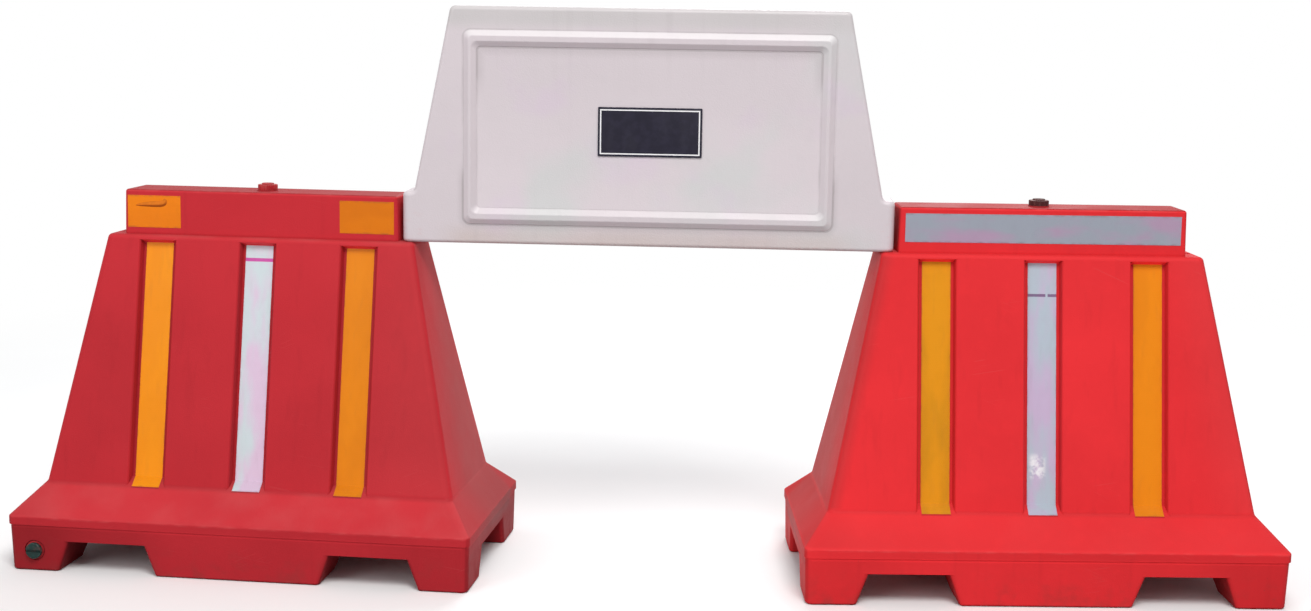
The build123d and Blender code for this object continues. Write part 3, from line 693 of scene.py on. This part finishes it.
def zincFinish():
    look = named(zincLook)
    sheet = newSheet("pinZinc")
    spangle = sheet.axes(sheet.cells(look.spangle, "Color"))[0]
    white = sheet.patches(look.white)
    colour = sheet.blend(white * look.whiteWeight, sheet.blend(spangle, *look.tints), look.whitened)
    rough = roughness(look.rough, spangle, white)
    return sheet.finishWith(colour, rough, sheet.bumps(look.skin), look.gloss, Metallic=look.metal)

rubber = rubberFinish()
zinc = zincFinish()
for side in sides:
    dress(plugFinish(side), side + "_drain_plug")
    dress(rubber, side + "_filler_gasket", side + "_drain_seal")
    dress(zinc, side + "_link_pin")
print("stage: caps, plugs, seals and pins finished")

def linked(name, data):
    made = bpy.data.objects.new(name, data)
    scene.collection.objects.link(made)
    return made

def linkMesh(name, points, faces, finish):
    mesh = bpy.data.meshes.new(name)
    mesh.from_pydata(points.tolist(), [], faces)
    mesh.update()
    mesh.materials.append(finish)
    return linked(name, mesh)

def ringQuads(count, around):
    # quads between each ring of points and the next; the last point of a ring joins its first
    i, j = np.meshgrid(np.arange(count - 1), np.arange(around), indexing="ij")
    after = (j + 1) % around
    corners = [i * around + j, i * around + after, (i + 1) * around + after, (i + 1) * around + j]
    return np.stack(corners, -1).reshape(-1, 4)

def closedSurface(name, rings, finish, body, sharp=None):
    # rings[i, j] is point j of ring i; each end ring closes on its middle, and the faces are turned outwards
    count, around = rings.shape[:2]
    points = np.concatenate([rings.reshape(-1, 3), rings[:1].mean(1), rings[-1:].mean(1)])
    quads = ringQuads(count, around)
    step = np.arange(around)
    following = (step + 1) % around
    startPole = np.stack([following, step, np.full(around, count * around)], -1)
    last = (count - 1) * around
    endPole = np.stack([last + step, last + following, np.full(around, count * around + 1)], -1)
    triangles = np.concatenate([quads[:, [0, 1, 2]], quads[:, [0, 2, 3]], startPole, endPole])
    a, b, c = (points[triangles[:, part]] for part in range(3))
    turnedIn = np.einsum("ij,ij->i", a, np.cross(b, c)).sum() < 0
    order = -1 if turnedIn else 1
    faces = [face for part in (quads, startPole, endPole) for face in part[:, ::order].tolist()]
    piece = linkMesh(name, points, faces, finish)
    piece.data.shade_smooth()
    if sharp is not None:
        piece.data.set_sharp_from_angle(angle=math.radians(sharp))
    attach(piece, body)

# Bare plate on the panel's front

plateLook = dict(
    width=0.2175, height=0.1025, corner=0.0025, leastCorner=0.0004, thick=0.003, round=0.0008,
    across=0.0043, middle=0.9448, frameProud=0.008, lineInset=0.0058, lineWidth=0.0023,
    lineDeep=0.0003, lineFade=0.0003, inwards=0.02, roundSteps=6, cornerSteps=10, sharp=40,
    field=(0.02, 0.018, 0.032), shades=(0.88, 1.15), line=(0.9, 0.89, 0.9), chip=(0.3, 0.29, 0.31),
    hazeWeight=0.03, rimWeight=0.5, rim=(-0.0014, -0.0004), mottle=(70, 4, 0.35, 0.7),
    haze=(16, 4, 0.42, 0.72), hazeStretch=(1, 1, 0.4), chips=(210, 4, 0.52, 0.66),
    skin=(320, 2, 0.0001), rough=(0.46, 0.14, 0.06), gloss=0.15)

def roundedOutline(width, height, corner, steps):
    # four quarter arcs about the corner middles, one after the other; the straight sides join their ends
    quarter = np.arange(4) * np.pi / 2
    angle = quarter[:, None] + np.linspace(0, np.pi / 2, steps)[None, :]
    middle = quarter + np.pi / 4
    across = np.sign(np.cos(middle))[:, None] * (width / 2 - corner) + corner * np.cos(angle)
    upwards = np.sign(np.sin(middle))[:, None] * (height / 2 - corner) + corner * np.sin(angle)
    return across.ravel(), upwards.ravel()

def plateFinish():
    look = named(plateLook)
    tints = [shaded(look.field, shade) for shade in look.shades]
    sheet, mottle, colour = mottled("platePaint", look, tints, (look.across, 0, look.middle))
    x, _, z = sheet.axes()
    inside = edgeDistance(x, z, look.width / 2, look.height / 2, look.corner)
    haze = sheet.patches(look.haze, look.hazeStretch)
    colour = sheet.blend(haze * look.hazeWeight, colour, look.chip)
    line = inside.near(-look.lineInset, look.lineWidth / 2, look.lineFade)
    colour = sheet.blend(line, colour, look.line)
    rim = inside.ramp(*look.rim) * sheet.patches(look.chips)
    return finishSmall(sheet, sheet.blend(rim * look.rimWeight, colour, look.chip), look, haze, mottle)

def makePlate():
    # rounded outline drawn in by an inset at each step of a profile: front, line groove, rounded edge, back
    look = named(plateLook)
    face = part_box("panel_shell")[0].y + look.frameProud
    near, far = look.lineInset - look.lineWidth / 2, look.lineInset + look.lineWidth / 2
    thick, floor = look.thick, look.thick - look.lineDeep
    profile = [(far + look.inwards, thick), (far, thick), (far, floor), (near, floor), (near, thick)]
    for turn in np.linspace(0, np.pi / 2, look.roundSteps):
        profile.append((look.round * (1 - math.sin(turn)), thick - look.round * (1 - math.cos(turn))))
    rings = []
    for inset, height in [*profile, (0, 0), (look.inwards, 0)]:
        size = look.width - 2 * inset, look.height - 2 * inset
        across, upwards = roundedOutline(*size, max(look.corner - inset, look.leastCorner), look.cornerSteps)
        deep = np.full(len(across), face - height)
        rings.append(np.stack([look.across + across, deep, look.middle + upwards], -1))
    closedSurface("plate", np.array(rings), plateFinish(), "panel", sharp=look.sharp)

makePlate()
print("stage: plate made")

# Fold in the tape on the left block

foldLook = dict(
    path=((-0.276, 0.766), (-0.252, 0.7685), (-0.226, 0.7692), (-0.213, 0.7705), (-0.2105, 0.776),
          (-0.2102, 0.7815)),
    half=0.0066, rise=0.0022, lean=0.0014, tip=0.004, backHalf=0.6, sunk=0.15, level=0.0005,
    steps=70, frontSteps=13, backSteps=4, crest=(0.72, 0.18, 0.008), crestShade=0.85,
    shade=(0.4, 0.08, 0.008), shadeWeight=0.85, shadeFace=(-0.5, 0.3), mottle=(120, 4, 0.35, 0.7),
    skin=(300, 3, 0.0002), rough=(0.5, 0.15), gloss=0.15)

def unitToRow(side, points):
    # turns points from a unit's own axes into the row's
    centre, turn = unitPlace(side)
    cosine, sine = math.cos(turn), math.sin(turn)
    x, y, z = np.moveaxis(points, -1, 0)
    return np.stack([centre[0] + x * cosine - y * sine, centre[1] + x * sine + y * cosine, z], -1)

def nodePoints(side, node):
    # a node's points in its unit's own axes
    mesh = frame["nodes"][node].data
    points = np.empty(len(mesh.vertices) * 3)
    mesh.vertices.foreach_get("co", points)
    centre, turn = unitPlace(side)
    x, y, z = (points.reshape(-1, 3) - np.array(centre)).T
    cosine, sine = math.cos(turn), math.sin(turn)
    return np.stack([x * cosine + y * sine, y * cosine - x * sine, z], -1)

def stripFace(side, node):
    # how far out of the unit's middle plane the strip's face stands at its foot and head, and their heights
    points = nodePoints(side, node)
    height = points[:, 2]
    ends = height.min(), height.max()
    return [(-points[abs(height - end) < foldLook["level"], 1].min(), end) for end in ends]

def smoothPath(corners, count):
    # uniform cubic B-spline on the corners, with one more mirrored past each end so that it reaches both
    corner = np.array(corners)
    control = np.concatenate([2 * corner[:1] - corner[1:2], corner, 2 * corner[-1:] - corner[-2:-1]])
    where = np.linspace(0, len(corner) - 1, count)
    first = np.minimum(where.astype(int), len(corner) - 2)
    t = (where - first)[:, None]
    weights = (1 - t) ** 3, 3 * t ** 3 - 6 * t ** 2 + 4, -3 * t ** 3 + 3 * t ** 2 + 3 * t + 1, t ** 3
    return sum(weight * control[first + step] for step, weight in enumerate(weights)) / 6

def foldFinish():
    look = named(foldLook)
    tints = shaded(look.crest, look.crestShade), look.crest
    sheet, mottle, colour = mottled("foldedTape", look, tints, *unitPlace("left"))
    # painted shade on the fold's underside, where it faces down
    under = sheet.facing()[2].fall(*look.shadeFace)
    return finishSmall(sheet, sheet.blend(under * look.shadeWeight, colour, look.shade), look, mottle)

def makeFold():
    # bell-shaped ridge carried along the path, leaning down and thinning to nothing at both ends
    look = named(foldLook)
    path = smoothPath(look.path, look.steps)
    along = np.gradient(path, axis=0)
    along /= np.linalg.norm(along, axis=1)[:, None]
    aside = np.stack([-along[:, 1], along[:, 0]], -1)
    part = np.clip(np.linspace(0, 1, look.steps), look.tip, 1 - look.tip)
    swell = np.sqrt(np.sin(np.pi * part))[:, None]
    front = np.linspace(-1, 1, look.frontSteps)
    back = np.linspace(look.backHalf, -look.backHalf, look.backSteps)
    raised = np.concatenate([(1 - front ** 2) ** 2, np.full(look.backSteps, -look.sunk)])[None, :]
    offset = (np.concatenate([front, back])[None, :] * look.half - raised * look.lean) * swell
    flat = path[:, None, :] + aside[:, None, :] * offset[..., None]
    (footOut, foot), (headOut, head) = stripFace("left", "left_short_strip_1")
    outward = footOut + (headOut - footOut) * (flat[..., 1] - foot) / (head - foot)
    points = np.stack([flat[..., 0], -outward - raised * look.rise * swell, flat[..., 1]], -1)
    closedSurface("tape_fold", unitToRow("left", points), foldFinish(), "left_barrier")

makeFold()
print("stage: tape fold made")

# Threads: on the filler necks under the caps, and on the drain plugs' shanks

threadLook = dict(
    neck=dict(radius=0.018, rise=0.00035, half=0.0008, pitch=0.004, turns=0.9, start=0.8034),
    plug=dict(radius=0.00995, rise=0.0005, half=0.0009, pitch=0.0025, turns=4.6, start=0.001),
    sunk=0.0003, runOut=0.45, tip=0.0004, perTurn=150, around=12)

def helixRidge(kind):
    # rounded ridge on a helix: out by the rise at its crest, sunk a little at its back, thin at both ends
    look, own = named(threadLook), named(threadLook[kind])
    turn = np.linspace(0, 2 * np.pi * own.turns, int(look.perTurn * own.turns))[:, None]
    swell = np.sqrt(np.clip(np.minimum(turn, turn[-1] - turn) / look.runOut, look.tip, 1))
    loop = np.linspace(0, 2 * np.pi, look.around, endpoint=False)[None, :]
    out = np.cos(loop) * np.where(np.cos(loop) > 0, own.rise, look.sunk)
    radius = own.radius + out * swell
    along = own.start + own.pitch * turn / (2 * np.pi) + own.half * np.sin(loop) * swell
    return radius * np.cos(turn), radius * np.sin(turn), along

def nodeFinish(node):
    return frame["nodes"][node].material_slots[0].material

def makeNeckThread(side):
    # the helix climbs the neck, about the cap's axis
    across, deep, height = helixRidge("neck")
    centre = unitPlace(side)[0]
    points = np.stack([centre[0] + across, centre[1] + deep, height], -1)
    finish = nodeFinish(side + "_filler_collar")
    closedSurface(side + "_neck_thread", points, finish, side + "_barrier")

def makePlugThread(side):
    # the helix runs outwards from the shank's inner end, along the unit's own -Y
    across, upwards, outwards = helixRidge("plug")
    node = side + "_drain_plug"
    plug = nodePoints(side, node)
    low, high = plug.min(0), plug.max(0)
    middle = (low + high) / 2
    points = np.stack([middle[0] + across, high[1] - outwards, middle[2] + upwards], -1)
    closedSurface(side + "_plug_thread", unitToRow(side, points), nodeFinish(node), node)

for side in sides:
    makeNeckThread(side)
    makePlugThread(side)
print("stage: threads made")

# Floor: pale, keeps the shadow, and goes over into the white surround with distance

floorLook = dict(
    radius=16, least=0.02, rings=24, around=96, drop=0.0005, seen=(0.9, 0.9, 0.9), cloudShade=1.015,
    bounce=(0.34, 0.34, 0.35), fade=(1.8, 4.2), cloud=(3, 3, 0.3, 0.7))
whiteLight = {"Color": (1, 1, 1, 1), "Strength": 1}

def seenRays(sheet):
    # 1 for rays from the camera, from gloss and through glass
    kinds = ("Is Camera Ray", "Is Glossy Ray", "Is Transmission Ray")
    camera, glossy, through = (sheet.node("LightPath", {}, kind) for kind in kinds)
    return camera.most(glossy).most(through)

def floorFinish():
    look = named(floorLook)
    sheet = newSheet("floorPaper")
    x, y, _ = sheet.axes()
    away = (x * x + y * y).root()
    paper = sheet.blend(sheet.patches(look.cloud), look.seen, shaded(look.seen, look.cloudShade))
    pale = sheet.node("BsdfDiffuse", {"Color": paper})
    glow = sheet.node("Emission", whiteLight)
    dim = sheet.node("BsdfDiffuse", {"Color": rgba(look.bounce)})
    faded = sheet.node("MixShader", {0: away.ramp(*look.fade), 1: pale, 2: glow})
    shown = sheet.node("MixShader", {0: seenRays(sheet), 1: dim, 2: faded})
    sheet.node("OutputMaterial", {"Surface": shown})
    return sheet.owner

def makeFloor():
    # flat disc: rings about the middle, whose radius grows with the square of their number
    look = named(floorLook)
    radius = np.linspace(look.least, 1, look.rings)[:, None] ** 2 * look.radius
    turn = np.linspace(0, 2 * np.pi, look.around, endpoint=False)[None, :]
    level = np.full((look.rings, look.around), -look.drop)
    rings = np.stack([radius * np.cos(turn), radius * np.sin(turn), level], -1)
    faces = ringQuads(look.rings, look.around)[:, ::-1].tolist() + [list(range(look.around))]
    floor = linkMesh("floor", rings.reshape(-1, 3), faces, floorFinish())

makeFloor()

# Light: an even pale surround and three large soft lamps

lampLook = dict(
    key=dict(place=(0.9, -4, 5.4), aim=(0, 0, 0.5), size=2.8, power=242, tint=(1, 0.99, 0.975)),
    fill=dict(place=(-3.2, -4.4, 2.6), aim=(0, 0, 0.5), size=2.6, power=55, tint=(0.98, 0.99, 1)),
    rear=dict(place=(0.6, 4.4, 3.8), aim=(0, 0, 0.6), size=3, power=150, tint=(0.98, 0.99, 1)))
surroundLook = dict(tint=(0.97, 0.985, 1), strength=0.55)

def makeLamp(name, look):
    data = bpy.data.lights.new(name, "AREA")
    data.shape = "DISK"
    data.size = look["size"]
    data.energy = look["power"]
    data.color = look["tint"]
    lamp = linked(name, data)
    place = Vector(look["place"])
    turn = (Vector(look["aim"]) - place).to_track_quat("-Z", "Y")
    lamp.matrix_world = Matrix.Translation(place) @ turn.to_matrix().to_4x4()

def makeSurround():
    world = bpy.data.worlds.new("surround")
    scene.world = world
    sheet = Sheet(world)
    light = {"Color": rgba(surroundLook["tint"]), "Strength": surroundLook["strength"]}
    lit = sheet.node("Background", light)
    plain = sheet.node("Background", whiteLight)
    shown = sheet.node("MixShader", {0: seenRays(sheet), 1: lit, 2: plain})
    sheet.node("OutputWorld", {"Surface": shown})

for name, look in lampLook.items():
    makeLamp(name, look)
makeSurround()

# Camera at the photograph's angle, in metres, degrees and millimetres

shotLook = dict(place=(0.218, -3.8143, 1.1717), yaw=3.009, pitch=8.981, roll=0.897, lens=49.208, sensor=36)

def makeCamera():
    look = named(shotLook)
    data = bpy.data.cameras.new("camera")
    data.sensor_fit = "HORIZONTAL"
    data.sensor_width = look.sensor
    data.lens = look.lens
    camera = linked("camera", data)
    yaw = Matrix.Rotation(math.radians(look.yaw), 4, "Z")
    pitch = Matrix.Rotation(math.radians(90 - look.pitch), 4, "X")
    roll = Matrix.Rotation(math.radians(look.roll), 4, "Z")
    camera.matrix_world = Matrix.Translation(look.place) @ yaw @ pitch @ roll
    scene.camera = camera

makeCamera()
scene.view_settings.view_transform = "Standard"
print("stage: floor, light and camera set")
